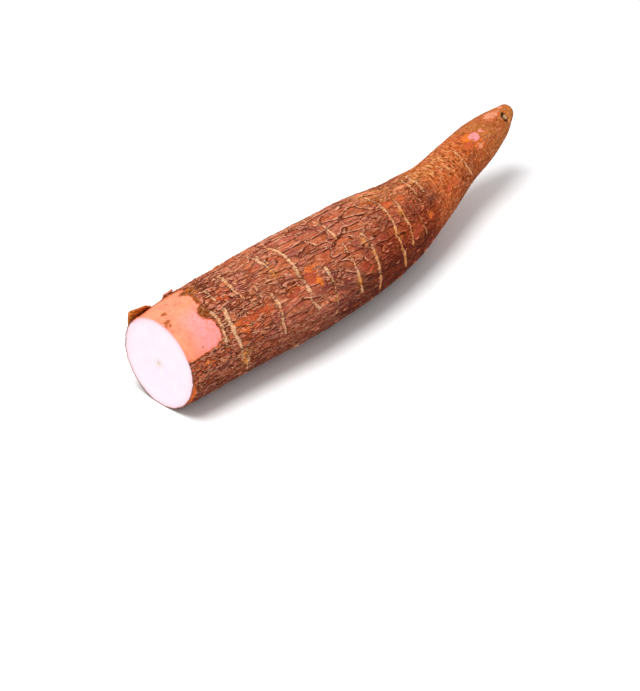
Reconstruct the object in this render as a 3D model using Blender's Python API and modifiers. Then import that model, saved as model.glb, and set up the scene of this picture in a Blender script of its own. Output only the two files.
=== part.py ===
"""A cassava root, cut straight across its thick end and lying on its side, as one solid.

The skin is a flat grid of points rolled round a bent centreline. Its rings stand close
together at the pale welts that cross the bark, and each point is then raised or sunk by the
relief: soft lumps, plates of cracked bark, welts, and patches where the bark has come off.
The flaps of bark that lift beside those patches, and the stub of a broken side root, are
joined on afterwards.

Metres, +Z up, +X from the cut end to the tip. "along" is the distance from the cut end, and
"around" is the angle round the centreline, 0 at the top and growing towards -Y.
"""

import bisect
import math

import bmesh
import bpy
import numpy as np
from mathutils import Vector, noise

NAME = "cassava_root"
MM = 0.001
SEED = 5

# The centreline and girth: along, sideways, height of the centre, radius.
STATIONS = MM * np.array(
    [
        (0, 0.0, 28.0, 27.6),  # the cut end
        (53, -2.6, 30.5, 30.2),
        (89, -5.0, 31.8, 31.1),  # the thickest place
        (132, -5.0, 30.9, 30.7),
        (178, -2.0, 28.6, 28.5),
        (202, 0.0, 27.6, 25.4),  # the shoulder
        (218, 1.3, 29.4, 22.7),
        (240, 4.0, 30.2, 19.2),
        (275, 10.6, 34.4, 15.9),  # the neck, bent sideways and up
        (308, 14.5, 39.7, 13.4),
        (327, 15.8, 43.9, 9.3),
        (336, 16.8, 46.4, 6.0),  # where the tip starts to round over
    ]
)
PLACES = STATIONS[:, 0].tolist()
SLOPES = np.gradient(STATIONS, STATIONS[:, 0], axis=0).tolist()
HEIGHTS = STATIONS.tolist()
LENGTH = PLACES[-1]
NECK = 218 * MM
TIP_ROUND = 2.2 * MM

# The grid that becomes the skin.
SIDES = 58
RING_GAP = 3.8 * MM
NECK_RING_GAP = 5.2 * MM
TIP_RINGS = 3

# How far the root is pressed flat where it lies on a surface.
SETTLED = 0.8 * MM

# Low, broad unevenness of the whole root.
LUMP_HEIGHT = 0.8 * MM
LUMP_SIZE = 42 * MM
# The rings lean, as the growth rings of the root do, and wander a little.
RING_LEAN = 4.0 * MM
RING_LEAN_FROM = math.radians(20)
RING_WANDER = 1.0 * MM
END_FADE = 24 * MM
# The cut isn't quite square: its upper edge lies a little further along the root. The blunt
# tip slants the same way.
CUT_TILT = 0.05
TIP_TILT = 0.3
TIP_TILT_FROM = 320 * MM

# Plates of bark, larger than life, each at its own level, with grooves between them.
PLATE_LENGTH = 27 * MM
PLATE_WIDTH = 9.5 * MM
PLATE_STEP = 0.9 * MM
PLATE_GROOVE = 1.2 * MM
GROOVE_SHARE = 0.4
PLATE_WARP = 0.25

# Pale corky welts across the bark: along, from and to in degrees around.
WELT_HEIGHT = 1.2 * MM
WELT_HALF_WIDTH = 1.7 * MM
WELTS = (
    (26.5, 28, 66),
    (26.5, 150, 205),
    (35.5, 2, 26),
    (35.5, 40, 116),
    (35.5, 225, 290),
    (49, -6, 36),
    (49, 165, 240),
    (62, 45, 95),
    (62, 255, 330),
    (74.5, -12, 29),
    (74.5, 120, 185),
    (87, -4, 86),
    (87, 210, 300),
    (106, 50, 108),
    (106, 170, 235),
    (125.5, -28, 48),
    (125.5, 54, 100),
    (125.5, 240, 305),
    (143, 38, 122),
    (143, 190, 270),
    (171, -4, 108),
    (171, 215, 320),
    (181.5, 18, 86),
    (181.5, 145, 215),
    (197, 56, 82),
    (197, 250, 335),
    (214, -20, 36),
    (214, 130, 210),
    (265, 20, 76),
    (265, 190, 270),
)

# Where the bark has come off: along, around in degrees, half length, half width, squareness.
# The first one runs out over the cut end.
PEEL_DEPTH = 1.1 * MM
PEEL_EDGE = 1.2 * MM
PEEL_RAGGED = 2.6 * MM
RAGGED_SIZE = 9 * MM
PEELED = (
    (3, 11, 25, 27, 6),
    (96, 50, 6, 5, 2),
    (99, 83, 10, 3, 2),
    (178, 20, 7, 5, 2),
    (191, 70, 7, 4, 2),
    (238, 55, 7, 5, 2),
    (288, 21, 6, 4, 2),
    (318, 0, 7, 4, 2),
    (52, 215, 15, 9, 3),
    (136, 275, 12, 8, 3),
    (158, 170, 12, 7, 3),
    (226, 250, 9, 6, 2),
)

# Flaps of bark that have come loose along one edge: along, hinge and free edge in degrees
# around, length, lift of the free edge at its start and at its end.
FLAP_THICKNESS = 1.1 * MM
FLAP_SUNK = 2.2 * MM
FLAPS = (
    (8.0, -64, -42, 15, 4.6, 1.2),
    (29.0, -58, -41, 7, 1.8, 2.4),
    (66.0, 238, 224, 12, 1.5, 1.5),
    (147.0, 296, 284, 9, 1.3, 1.3),
)

# The stub of a side root near the tip, and the cut face's rings.
STUB_ALONG = 325 * MM
STUB_AROUND = math.radians(46)
STUB_RADIUS = 2.7 * MM
STUB_HEIGHT = 1.0 * MM
STUB_PIT = 1.1 * MM
RIND = 2.2 * MM
CORE_RADIUS = 1.3 * MM
CORE_DEPTH = 0.5 * MM

COLOURS = {  # name: (red, green, blue), roughness
    "bark": ((0.17, 0.062, 0.036), 0.85),
    "peel": ((0.74, 0.27, 0.20), 0.6),
    "flesh": ((0.86, 0.80, 0.79), 0.5),
}
BARK, PEEL, FLESH = range(3)


def smooth(x):
    """0 below 0, 1 above 1, and an even rise between."""
    x = min(max(x, 0.0), 1.0)
    return x * x * (3 - 2 * x)


def through_stations(along, column):
    """A smooth curve through one column of STATIONS."""
    i = min(max(bisect.bisect_right(PLACES, along) - 1, 0), len(PLACES) - 2)
    step = PLACES[i + 1] - PLACES[i]
    t = (along - PLACES[i]) / step
    start, end = HEIGHTS[i][column], HEIGHTS[i + 1][column]
    rise = t * t * (3 - 2 * t) * (end - start)
    lean = t * (1 - t) ** 2 * SLOPES[i][column] - t * t * (1 - t) * SLOPES[i + 1][column]
    return start + rise + step * lean


def centre(along):
    return Vector((along, through_stations(along, 1), through_stations(along, 2) - SETTLED))


def radius(along):
    """The girth's radius. Past the last station the tip rounds over to a small blunt end."""
    past = max(along - LENGTH, 0.0) / TIP_ROUND
    return through_stations(min(along, LENGTH), 3) * math.sqrt(max(1 - past**2, 0.0))


def frame_at(along):
    """The sideways and upward directions of the cross-section here."""
    step = 0.5 * MM
    ahead = centre(along + step) - centre(along - step)
    side = Vector((0, 0, 1)).cross(ahead).normalized()
    return side, ahead.cross(side).normalized()


def outward(along, around):
    side, up = frame_at(along)
    return math.cos(around) * up - math.sin(around) * side


def skin_point(along, around, raised=0.0):
    return centre(along) + (radius(along) + raised) * outward(along, around)


def wrapped(angle):
    """The angle between -180 and 180 degrees, in radians."""
    return (angle + math.pi) % (2 * math.pi) - math.pi


def on_cylinder(along, around, length, width):
    """A place for the noise functions that closes on itself round the root."""
    girth = radius(min(along, LENGTH))
    return Vector((along / length, girth * math.cos(around) / width, girth * math.sin(around) / width))


def leaning(along, around):
    """Where a ring's point lies along the root, once the ring leans and wanders."""
    fade = smooth(along / END_FADE) * smooth((LENGTH - along) / END_FADE)
    lean = RING_LEAN * (1 - math.cos(around - RING_LEAN_FROM))
    wander = RING_WANDER * noise.noise(on_cylinder(along, around, 30 * MM, 20 * MM))
    return along + fade * (lean + wander)


def slanted(along, around):
    """How much further along the root a point lies through the slant of the cut and of the tip."""
    cut = CUT_TILT * (1 - smooth(along / END_FADE))
    tip = TIP_TILT * smooth((along - TIP_TILT_FROM) / (LENGTH - TIP_TILT_FROM))
    return (cut + tip) * radius(along) * math.cos(around)


def lumps(along, around):
    return LUMP_HEIGHT * noise.noise(on_cylinder(along, around, LUMP_SIZE, LUMP_SIZE))


def plates(along, around):
    """Plates of bark and their grooves, which fade out on the smooth skin of the tip."""
    place = on_cylinder(along, around, PLATE_LENGTH, PLATE_WIDTH)
    place += PLATE_WARP * noise.noise_vector(place)
    nearest, seeds = noise.voronoi(place)
    groove = 1 - smooth((nearest[1] - nearest[0]) / GROOVE_SHARE)
    level = PLATE_STEP * noise.cell(seeds[0] * 9) - PLATE_GROOVE * groove
    return level * (1 - 0.75 * smooth((along - NECK) / (LENGTH - NECK)))


def welts(ring, around):
    """The height of the welts at a point of the ring that starts at this distance along."""
    height = 0.0
    for station, start, end in WELTS:
        across = 1 - abs(ring - station * MM) / WELT_HALF_WIDTH
        middle, half = math.radians(start + end) / 2, math.radians(end - start) / 2
        reach = 1 - abs(wrapped(around - middle)) / half
        if across > 0 and reach > 0:
            height = max(height, across * smooth(reach * 6))
    return WELT_HEIGHT * height


def peeled(along, around):
    """1 where the bark is gone, 0 where it is whole, with a narrow slope between."""
    inside = -1.0
    for station, middle, half_length, half_width, square in PEELED:
        across = wrapped(around - math.radians(middle)) * radius(station * MM)
        far = abs(along / MM - station) / half_length, abs(across) / MM / half_width
        reach = (far[0] ** square + far[1] ** square) ** (1 / square)
        inside = max(inside, (1 - reach) * min(half_length, half_width) * MM)
    ragged = PEEL_RAGGED * noise.noise(on_cylinder(along, around, RAGGED_SIZE, RAGGED_SIZE))
    return smooth((inside + ragged) / PEEL_EDGE + 0.5)


def relief(ring, along, around):
    """All the relief. The bark is worn smooth along the line that the root lies on."""
    bare = peeled(along, around)
    worn = smooth((-math.cos(around) - 0.92) / 0.06)
    rough = (1 - worn) * (plates(along, around) + welts(ring, around))
    return lumps(along, around) + (1 - bare) * rough - bare * PEEL_DEPTH


def ring_places():
    """Three rings at each welt, even rings between them, and a few that round the tip."""
    marks = {0.0, LENGTH}
    for station, _, _ in WELTS:
        marks |= {station * MM + side * WELT_HALF_WIDTH for side in (-1, 0, 1)}
    marks = sorted(marks)
    rings = []
    for start, end in zip(marks, marks[1:]):
        steps = max(1, round((end - start) / (RING_GAP if end < NECK else NECK_RING_GAP)))
        rings += [start + (end - start) * k / steps for k in range(steps)]
    over = [math.sin(math.radians(75) * k / TIP_RINGS) for k in range(TIP_RINGS + 1)]
    return rings + [LENGTH + TIP_ROUND * share for share in over]


def place_point(ring, around):
    """One point of the skin. What would sink below the surface lies flat on it."""
    along = leaning(ring, around)
    point = skin_point(along, around, relief(ring, along, around))
    point.x += slanted(along, around)
    point.z = max(point.z, 0.0)
    return point


def rolled_skin():
    """The grid, rolled and welded along its seam, with every other line dropped on the neck."""
    rings = ring_places()
    grid = bmesh.new()
    bmesh.ops.create_grid(grid, x_segments=len(rings) - 1, y_segments=SIDES, size=1)
    lines = {}
    for point in grid.verts:
        ring = round((point.co.x + 1) / 2 * (len(rings) - 1))
        line = round((point.co.y + 1) / 2 * SIDES) % SIDES
        lines.setdefault((ring, line), []).append(point)
    for (ring, line), points in lines.items():
        place = place_point(rings[ring], 2 * math.pi * line / SIDES)
        for point in points:
            point.co = place
    merged = {}
    for (ring, line), points in lines.items():
        kept = lines[ring, line - line % 2] if rings[ring] > NECK else points
        merged |= {point: kept[0] for point in points if point != kept[0]}
    bmesh.ops.weld_verts(grid, targetmap=merged)
    return grid


def close_ends(grid):
    """Caps the tip, and gives the cut end its rind, its flesh and the pit of the woody core."""
    ends = bmesh.ops.holes_fill(grid, edges=[e for e in grid.edges if e.is_boundary], sides=0)
    cut, tip = sorted(ends["faces"], key=lambda face: face.calc_center_median().x)
    bmesh.ops.poke(grid, faces=[tip])
    cut.material_index = FLESH
    rind = bmesh.ops.inset_region(grid, faces=[cut], thickness=RIND, use_even_offset=True)
    for face in rind["faces"]:
        face.material_index = FLESH
    hub = bmesh.ops.create_circle(grid, segments=10, radius=CORE_RADIUS)["verts"]
    side, up = frame_at(0.0)
    ahead = side.cross(up)
    up = up + CUT_TILT * ahead
    for point in hub:
        point.co = centre(0.0) + point.co.x * side + point.co.y * up
    outer = set(cut.edges)
    bmesh.ops.delete(grid, geom=[cut], context="FACES_ONLY")
    inner = {edge for point in hub for edge in point.link_edges}
    ring = bmesh.ops.bridge_loops(grid, edges=list(outer | inner))["faces"]
    floor = bmesh.ops.holes_fill(grid, edges=list(inner), sides=0)["faces"]
    middle = bmesh.ops.poke(grid, faces=floor)
    middle["verts"][0].co += CORE_DEPTH * ahead
    for face in ring + middle["faces"]:
        face.material_index = FLESH


def bark_flap(along, hinge, free, length, lift, end_lift):
    """A curved scrap of bark, sunk in the root at its hinge and standing clear at its free edge."""
    steps_along, steps_around = 4, 4
    sheet = bmesh.new()
    bmesh.ops.create_grid(sheet, x_segments=steps_along, y_segments=steps_around, size=1)
    for point in sheet.verts:
        out = (point.co.y + 1) / 2
        ripple = noise.noise(Vector((along, point.co.x * 1.3, out)))
        reach = 1 - 0.22 * point.co.x**2 + 0.15 * ripple
        around = math.radians(hinge + (free - hinge) * out * reach)
        height = lift + (end_lift - lift) * (point.co.x + 1) / 2
        raised = (height + 0.6 * ripple) * out * MM - FLAP_SUNK * (1 - out) ** 2
        place = max((along + point.co.x * length / 2) * MM, 0.3 * MM)
        point.co = skin_point(place, around, raised)
        point.co.x += slanted(place, around)
    mesh = bpy.data.meshes.new("flap")
    sheet.to_mesh(mesh)
    sheet.free()
    flap = bpy.data.objects.new("flap", mesh)
    solid = flap.modifiers.new("Thickness", "SOLIDIFY")
    solid.thickness = FLAP_THICKNESS
    solid.offset = 0
    return flap


def root_stub():
    """The broken foot of a side root: a low collar with a pit in it."""
    outline = (
        (0, -STUB_RADIUS),
        (STUB_RADIUS, -STUB_RADIUS),
        (STUB_RADIUS, STUB_HEIGHT / 2),
        (STUB_RADIUS * 0.75, STUB_HEIGHT),
        (STUB_PIT, STUB_HEIGHT * 0.8),
        (0, 0),
    )
    mesh = bpy.data.meshes.new("stub")
    edges = [(i, i + 1) for i in range(len(outline) - 1)]
    mesh.from_pydata([(x, 0, z) for x, z in outline], edges, [])
    stub = bpy.data.objects.new("stub", mesh)
    turn = stub.modifiers.new("Turn", "SCREW")
    turn.steps = turn.render_steps = 10
    turn.use_merge_vertices = True
    turn.merge_threshold = 0.01 * MM
    stub.location = skin_point(STUB_ALONG, STUB_AROUND)
    stub.rotation_mode = "QUATERNION"
    stub.rotation_quaternion = outward(STUB_ALONG, STUB_AROUND).to_track_quat("Z", "Y")
    return stub


def join_all(root, pieces):
    """Joins the pieces to the root in one Boolean union, applies it and removes them."""
    loose = bpy.data.collections.new("joined to the root")
    bpy.context.scene.collection.children.link(loose)
    for piece in pieces:
        loose.objects.link(piece)
    union = root.modifiers.new("Union", "BOOLEAN")
    union.operation = "UNION"
    union.operand_type = "COLLECTION"
    union.collection = loose
    graph = bpy.context.evaluated_depsgraph_get()
    joined = bpy.data.meshes.new_from_object(root.evaluated_get(graph))
    root.modifiers.remove(union)
    root.data = joined
    for piece in pieces:
        bpy.data.objects.remove(piece)
    bpy.data.collections.remove(loose)


def principled(name):
    colour, roughness = COLOURS[name]
    material = bpy.data.materials.new(name)
    material.use_nodes = True
    shader = material.node_tree.nodes["Principled BSDF"]
    shader.inputs["Base Color"].default_value = (*colour, 1)
    shader.inputs["Roughness"].default_value = roughness
    shader.inputs["Metallic"].default_value = 0
    return material


def build_root():
    grid = rolled_skin()
    for face in grid.faces:
        middle = face.calc_center_median()
        off = middle - centre(middle.x)
        around = math.atan2(-off.y, off.z)
        face.material_index = PEEL if peeled(middle.x, around) > 0.5 else BARK
    close_ends(grid)
    bmesh.ops.recalc_face_normals(grid, faces=grid.faces)
    bmesh.ops.triangulate(grid, faces=grid.faces)
    mesh = bpy.data.meshes.new(NAME)
    grid.to_mesh(mesh)
    grid.free()
    for name in COLOURS:
        mesh.materials.append(principled(name))
    root = bpy.data.objects.new(NAME, mesh)
    return root


def centre_over_base(mesh):
    """Puts the origin at the middle of the root's box, on the surface that it lies on."""
    points = np.array([vertex.co for vertex in mesh.vertices])
    middle = (points.min(axis=0) + points.max(axis=0)) / 2
    for vertex in mesh.vertices:
        vertex.co -= Vector((middle[0], middle[1], 0))


def main():
    noise.seed_set(SEED)
    for old in list(bpy.data.objects):
        bpy.data.objects.remove(old)
    parts = bpy.data.collections.new("cassava root")
    bpy.context.scene.collection.children.link(parts)
    root = build_root()
    parts.objects.link(root)
    join_all(root, [bark_flap(*flap) for flap in FLAPS] + [root_stub()])
    centre_over_base(root.data)
    root.data.shade_smooth()
    root.data.set_sharp_from_angle(angle=math.radians(50))


main()
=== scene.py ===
"""Dresses the cassava root: a fine skin of cracked bark over the solid root, with its camera and light.

Lengths are in millimetres up to the moment a mesh is made. "along" is the distance from the cut
end, and "around" is the angle in degrees round the centreline, 0 at the top and growing towards -Y.
"""

import math

import bpy
import numpy as np
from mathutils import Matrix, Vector, noise


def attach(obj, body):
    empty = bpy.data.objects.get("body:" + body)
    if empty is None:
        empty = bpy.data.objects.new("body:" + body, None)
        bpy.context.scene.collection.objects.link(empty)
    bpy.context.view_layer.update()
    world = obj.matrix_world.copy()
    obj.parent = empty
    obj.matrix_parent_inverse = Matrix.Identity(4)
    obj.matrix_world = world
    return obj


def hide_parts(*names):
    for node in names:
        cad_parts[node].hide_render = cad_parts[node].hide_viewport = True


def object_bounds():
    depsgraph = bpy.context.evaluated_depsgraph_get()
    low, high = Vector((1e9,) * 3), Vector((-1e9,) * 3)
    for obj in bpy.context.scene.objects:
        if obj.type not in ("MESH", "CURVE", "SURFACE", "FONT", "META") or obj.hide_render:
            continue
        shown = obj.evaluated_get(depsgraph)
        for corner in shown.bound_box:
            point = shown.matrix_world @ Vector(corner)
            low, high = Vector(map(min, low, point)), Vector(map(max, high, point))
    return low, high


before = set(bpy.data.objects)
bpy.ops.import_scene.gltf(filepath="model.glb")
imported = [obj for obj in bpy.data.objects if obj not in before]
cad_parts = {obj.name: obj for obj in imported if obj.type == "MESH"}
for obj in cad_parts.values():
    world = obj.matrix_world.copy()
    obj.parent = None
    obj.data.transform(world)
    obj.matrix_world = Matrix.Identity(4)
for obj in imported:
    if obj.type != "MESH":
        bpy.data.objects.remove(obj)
cad_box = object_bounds()

MM = 0.001
SEED = 5
noise.seed_set(SEED)

# The root's form, with the names and values that its solid has. STATIONS gives the centreline
# and girth: along, sideways, height of the centre, radius. ORIGIN is where the middle of the
# root's base lies, from the point on the ground under the middle of the cut.
STATIONS = np.array(
    [
        (0, 0.0, 28.0, 27.6),  # the cut end
        (53, -2.6, 30.5, 30.2),
        (89, -5.0, 31.8, 31.1),  # the thickest place
        (132, -5.0, 30.9, 30.7),
        (178, -2.0, 28.6, 28.5),
        (202, 0.0, 27.6, 25.4),  # the shoulder
        (218, 1.3, 29.4, 22.7),
        (240, 4.0, 30.2, 19.2),
        (275, 10.6, 34.4, 15.9),  # the neck, bent sideways and up
        (308, 14.5, 39.7, 13.4),
        (327, 15.8, 43.9, 9.3),
        (336, 16.8, 46.4, 6.0),  # where the tip starts to round over
    ]
)
LENGTH = 336.0
TIP_ROUND = 2.2
NECK = 218.0
SETTLED = 0.8
ORIGIN = np.array((168.51, -4.18, 0.0))
LUMP_HEIGHT = 0.8
LUMP_SIZE = 42.0

# The cut isn't quite square: its upper edge lies a little further along the root. The blunt
# tip slants the same way.
CUT_TILT = 0.05
CUT_FADE = 24.0
TIP_TILT = 0.3
TIP_TILT_FROM = 320.0

# The skin's grid: rings up to the tip, and points in each. The tip's own rings are given by their
# angle on its rounding, and those of the cut by their share of its radius.
RINGS = 316
SIDES = 288
TIP_ANGLES = np.radians(np.linspace(9, 72, 8))
TIP_END = 0.955
CUT_SHARES = (0.05, 0.1, 0.2, 0.3, 0.4, 0.5, 0.6, 0.7, 0.8, 0.88, 0.92, 0.95, 0.975, 0.992)
# The woody core is sunk a little into the cut.
CORE_SUNK = 0.25
CORE_WIDTH = 1.6
# How far every piece stays inside the solid's own box, in metres.
BOX_MARGIN = 0.00003

# The shade on the bark grows away from this angle round the root, where the light falls.
BRIGHT_SIDE = 8

# Pale corky welts, each a line through points of (along, around). The last number is half its width.
WELTS = (
    (((35.5, 35), (34.0, 46), (34.1, 56)), 1.26),
    (((34.1, 56), (34.2, 61), (34.6, 75), (36, 90), (39.8, 114)), 0.95),
    (((36.0, 87), (38.2, 102)), 2.1),
    (((35.0, 3), (35.5, 20)), 0.76),
    (((25.6, 22), (27.8, 32), (28.6, 45), (27.8, 58), (26, 67)), 1.01),
    (((50, -3), (48.5, 12), (48.5, 24), (50, 34)), 1.01),
    (((73.4, -10), (74, 2), (74.4, 16), (75, 28)), 1.01),
    (((76.4, -9), (76.2, 4), (76.8, 16)), 0.67),
    (((86.5, -4), (87.5, 8), (87.4, 19), (87, 31)), 0.84),
    (((87, 31), (86.5, 42), (87.4, 60), (88, 73), (92, 84)), 1.14),
    (((66.5, 45), (67.5, 58), (67.4, 70), (67, 80), (67.2, 93)), 1.09),
    (((60.4, 30), (60, 43)), 0.67),
    (((127, -26), (125, -7), (125, 6), (124, 17), (124, 26)), 0.92),
    (((104, 49), (104.5, 57), (105.5, 64)), 0.92),
    (((105.5, 71), (106.4, 82), (106.6, 104)), 0.6),
    (((124, 36), (124.6, 46)), 0.76),
    (((124.5, 53), (125, 66), (126, 78), (128, 96)), 1.18),
    (((141, 37), (142.5, 48), (143, 60), (143, 75), (144.5, 88), (147.5, 112)), 1.18),
    (((171, -3), (172, 9), (171, 29), (169.5, 44), (167, 59), (168.5, 74), (173.5, 104)), 1.09),
    (((184.8, 19), (182.5, 35), (181.5, 48), (181, 80)), 1.09),
    (((196, 56), (197, 67), (198, 81)), 0.95),
    (((219, -15), (217.5, 8), (215.5, 32)), 0.84),
    (((214.5, -12), (213, 7), (209.5, 30)), 0.84),
    (((267.4, 15), (266, 34), (265.6, 53), (267, 76)), 1.15),
    (((237, -2), (236, 20)), 0.6),
    (((245.5, 4), (245, 24)), 0.6),
    (((250, -12), (253.5, 3)), 0.6),
    (((27, 150), (29, 178), (31, 205)), 0.9),
    (((40, 225), (39, 255), (36, 290)), 0.9),
    (((54, 165), (56, 200), (55, 240)), 0.8),
    (((69, 255), (66, 290), (62, 330)), 0.9),
    (((80, 120), (82, 150), (83, 185)), 0.8),
    (((95, 210), (93, 255), (89, 300)), 1.0),
    (((113, 170), (114, 200), (113, 235)), 0.8),
    (((133, 240), (130, 270), (127, 305)), 0.9),
    (((151, 190), (151, 230), (148, 270)), 0.9),
    (((178, 215), (175, 265), (172, 320)), 1.0),
    (((189, 145), (190, 180), (188, 215)), 0.8),
    (((203, 250), (200, 290), (197, 335)), 0.8),
    (((220, 130), (222, 170), (220, 210)), 0.8),
    (((272, 190), (271, 230), (268, 270)), 0.6),
)
WELT_HEIGHT = 0.55

# The bark is gone over the big patch, whose outline is this line of (along, around).
BIG_PATCH = (
    (-6, -47), (12, -45), (26, -41), (31, -32), (32, -20), (28.5, -8), (27.5, 4), (25.6, 16),
    (21.6, 24), (22.6, 31), (26, 36), (26.4, 49), (25, 60), (19.5, 64), (12.5, 64.5),
    (7.5, 66), (0.5, 63), (-6, 62),
)
# Smaller places where only the outer bark has rubbed off: along, around, half length, half width,
# tilt, and hue, from 0 for pink over 0.3 for peach and 0.6 for orange to 1 for dark red.
SCUFFS = (
    (93, 49, 4.8, 4.2, 20, 0.88),
    (94, 41.5, 4.0, 2.0, 0, 0.64),
    (97.5, 58, 2.7, 2.1, 0, 0.50),
    (78.5, 58, 6.6, 2.2, -10, 0.94),
    (50, 56.5, 12, 1.9, 3, 0.82),
    (98.5, 82.5, 9.0, 1.3, 0, 0.22),
    (177, 20, 5.0, 2.6, 0, 0.70),
    (191.5, 22, 3.4, 1.5, 0, 0.70),
    (203, 4.5, 6.0, 1.8, 0, 0.30),
    (178, -19, 7.5, 2.4, 0, 0.34),
    (189.5, 69, 7.0, 2.6, -10, 0.94),
    (209, 64.5, 3.0, 2.0, 0, 0.66),
    (134, 71, 4.5, 3.4, 20, 1.0),
    (240, 53, 8.0, 1.7, -14, 0.76),
    (247, 57, 4.0, 1.6, 0, 0.70),
    (285.5, 11, 5.4, 3.0, 0, 0.60),
    (281, 28, 5.0, 2.2, 10, 0.80),
    (288, 37, 4.6, 2.0, 0, 0.74),
    (291, 22, 4.2, 3.2, 10, 0.0),
    (300, 26, 2.2, 1.0, 30, 0.15),
    (288, 45, 4.2, 1.8, 0, 0.28),
    (319, 2, 7.5, 3.4, 0, 0.26),
    (329, -8, 3.0, 1.6, 0, 0.26),
    (39.8, 22, 3.0, 1.2, 10, 0.78),
    (42, 65, 5.5, 1.0, 5, 0.68),
    (11.5, 76, 4.4, 1.0, 4, 0.54),
    (1.2, 110, 2.2, 9.0, 0, 0.66),
    (64, 330, 8, 2.2, 6, 0.86),
    (118, 322, 6, 3.0, 0, 0.84),
    (36, 168, 7, 3.4, 10, 0.82),
    (105, 204, 9, 4.0, 0, 0.90),
    (158, 170, 10, 4.0, 0, 0.86),
    (176, 292, 7, 3.0, 0, 0.80),
    (226, 250, 8, 3.6, 20, 0.86),
    (292, 205, 6, 3.0, 0, 0.78),
)
SCUFF_DEPTH = 0.3

# Two deeper bare places on the far side: along, around, half length, half width, tilt.
PEELED = (
    (52, 215, 14, 8, 10),
    (136, 275, 11, 7, 0),
)

# Blots on the bark: along, around, half length, half width, strength. It turns golden, rusty or
# dusky there. The crumbs lie at the big patch's edge, and the brown specks on it.
GOLD_PLACES = (
    (37.2, 96, 4.2, 6.5, 1.4),
    (75, 27, 2.0, 2.4, 1.2),
    (86.8, 40, 2.0, 2.4, 1.2),
    (105.6, 84, 2.0, 2.4, 1.2),
    (126, 81, 2.6, 4.0, 1.3),
    (139.5, 45, 3.0, 3.0, 1.2),
    (143, 60, 2.0, 2.6, 1.1),
    (168.5, 57, 2.2, 3.6, 1.3),
    (181.5, 40, 2.2, 3.6, 1.2),
    (177, -14, 16, 6, 1.1),
    (192, -2, 26, 9, 0.7),
    (218, 2, 14, 8, 0.6),
    (31, -8, 6, 3, 0.3),
    (329, 30, 7, 5, 0.6),
    (124, -26, 9, 3, 0.7),
    (70, 250, 14, 8, 0.6),
    (190, 200, 14, 8, 0.7),
)
RUST_PLACES = (
    (192, 16, 22, 9, 0.85),
    (174, 14, 16, 8, 0.9),
    (39.5, 64, 5, 2.8, 1.2),
    (188, 76, 12, 8, 0.9),
    (236, 40, 22, 13, 0.7),
    (280, 8, 12, 8, 0.7),
    (228, 74, 10, 8, 0.8),
    (8, 84, 12, 5, 0.5),
    (110, 300, 18, 8, 0.7),
    (30, 250, 14, 8, 0.6),
    (240, 220, 22, 14, 0.7),
)
DUSKY_PLACES = (
    (215, 35, 10, 6, 0.7),
    (217, 50, 8, 7, 0.75),
    (256, 77, 8, 5, 0.5),
    (276, 60, 9, 5, 0.35),
    (288, 1, 2.4, 1.4, 0.9),
    (282, 14, 1.2, 2.6, 0.7),
    (158, 62, 24, 12, 0.5),
    (190, 50, 12, 8, 0.5),
    (90, 230, 22, 9, 0.5),
    (205, 290, 14, 9, 0.8),
)
CRUMB_PLACES = (
    (30.5, -14, 4.5, 3.4, 1.3),
    (25, 23, 3.6, 4.0, 1.3),
    (28, 5, 2.2, 2.0, 1.0),
    (29, -2, 1.6, 1.4, 0.9),
)
SPECK_PLACES = (
    (7.2, -4, 2.2, 1.7, 1.0),
    (3.8, 10, 2.6, 1.5, 1.0),
    (2.6, 16, 3.4, 3.2, 0.75),
    (15.5, -18, 2.4, 1.5, 0.65),
    (17, -6, 1.8, 1.2, 0.6),
    (12, 57, 1.6, 1.0, 0.5),
    (17, -26, 2.4, 1.2, 0.4),
    (5, -22, 1.6, 1.4, 0.4),
)
PATCH_DEPTH = 0.9

# Flaps of bark that have come loose: along, hinge and free edge around, length, and the lift of
# the free edge at its start and at its end.
FLAPS = (
    (8.6, -64, -42, 16.5, 4.2, 0.5),
    (29.4, -58, -40, 7.5, 1.5, 1.5),
    (66.0, 238, 224, 12, 1.5, 1.5),
    (147.0, 296, 284, 9, 1.3, 1.3),
)
FLAP_THICKNESS = 0.9
FLAP_GRID = (17, 9)
# Small curled scraps of bark. Those that would fall within UNDERSIDE degrees of the bottom line
# are left out.
SCRAPS = 130
SCRAP_SEED = 7
SCRAP_THICKNESS = 0.25
SCRAP_GRID = (7, 5)
UNDERSIDE = 32
# How deep the hinge of a flap or scrap is sunk in the skin, and how near it may come to the cut.
HINGE_DEPTH = 0.9
CUT_GAP = 0.25

# The broken foot of a side root near the tip: along, around.
STUB = (325.8, 43)
STUB_SIZE = 1.15

# The camera: the point that it aims at, its bearing and height round that point, and how far off
# it stands, in metres.
AIM = (np.array((101.5, -27.4, 0.0)) - ORIGIN) * MM
BEARING = math.radians(-48.9)
ELEVATION = math.radians(33.5)
DISTANCE = 1.104
LENS = 100


def smooth(x):
    """0 below 0 and 1 above 1, with a soft rise between them."""
    x = np.clip(x, 0.0, 1.0)
    return x * x * (3 - 2 * x)


def through_stations(along, column):
    """A smooth curve through one column of STATIONS."""
    x, y = STATIONS[:, 0], STATIONS[:, column]
    slopes = np.gradient(y, x)
    i = np.clip(np.searchsorted(x, along, side="right") - 1, 0, len(x) - 2)
    step = x[i + 1] - x[i]
    t = (along - x[i]) / step
    lean = t * (1 - t) ** 2 * slopes[i] - t * t * (1 - t) * slopes[i + 1]
    return y[i] + t * t * (3 - 2 * t) * (y[i + 1] - y[i]) + step * lean


def centre(along):
    """The centreline's point this far along."""
    height = through_stations(along, 2) - SETTLED
    return np.stack([along, through_stations(along, 1), height], axis=-1)


def girth(along):
    """The radius. Past the last station the tip rounds over to a blunt end."""
    past = np.clip((along - LENGTH) / TIP_ROUND, 0.0, 1.0)
    return through_stations(np.minimum(along, LENGTH), 3) * np.sqrt(1 - past**2)


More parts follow.
